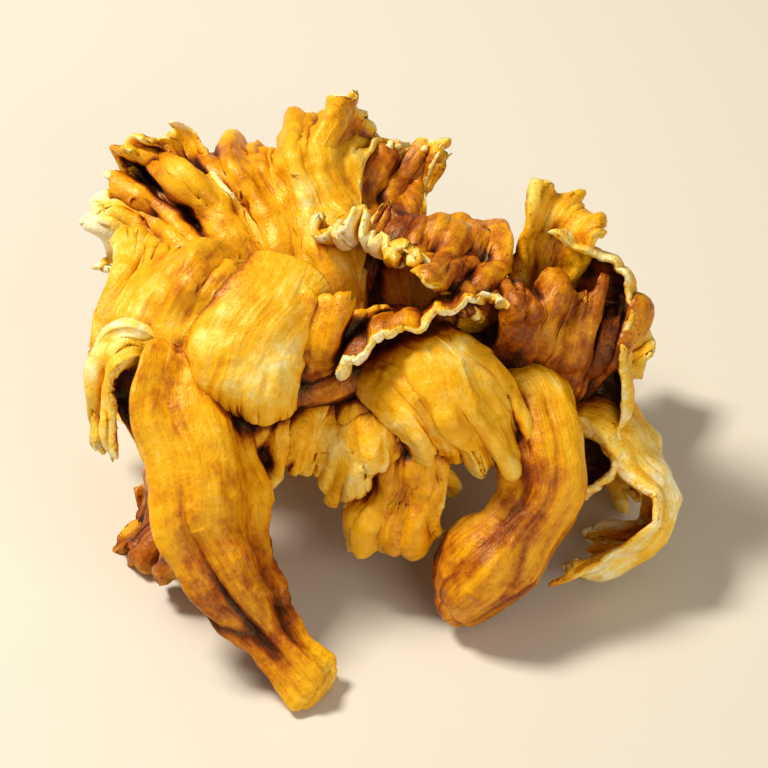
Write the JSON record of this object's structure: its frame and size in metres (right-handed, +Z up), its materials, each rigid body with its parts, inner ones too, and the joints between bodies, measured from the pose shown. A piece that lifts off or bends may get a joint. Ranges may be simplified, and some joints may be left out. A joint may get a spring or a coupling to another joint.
{
  "type": "dried maitake mushroom piece",
  "caption": "Dried, curled piece of maitake mushroom: a ribbed stem forks into thin, wavy, folded fronds that lie over one another.",
  "frame": {"origin": "below the middle of the piece, on the surface it lies on", "axes": "+X to the right and +Y away from the eye as the piece lies in the picture, +Z up from the surface it lies on"},
  "size_m": [0.0334, 0.0318, 0.02],
  "materials": {
    "dried_flesh": "satin, fibrous, amber with dark brown margins and a cream underside"
  },
  "bodies": {
    "root": {"dried_maitake": "dried_flesh"}
  },
  "joints": []
}
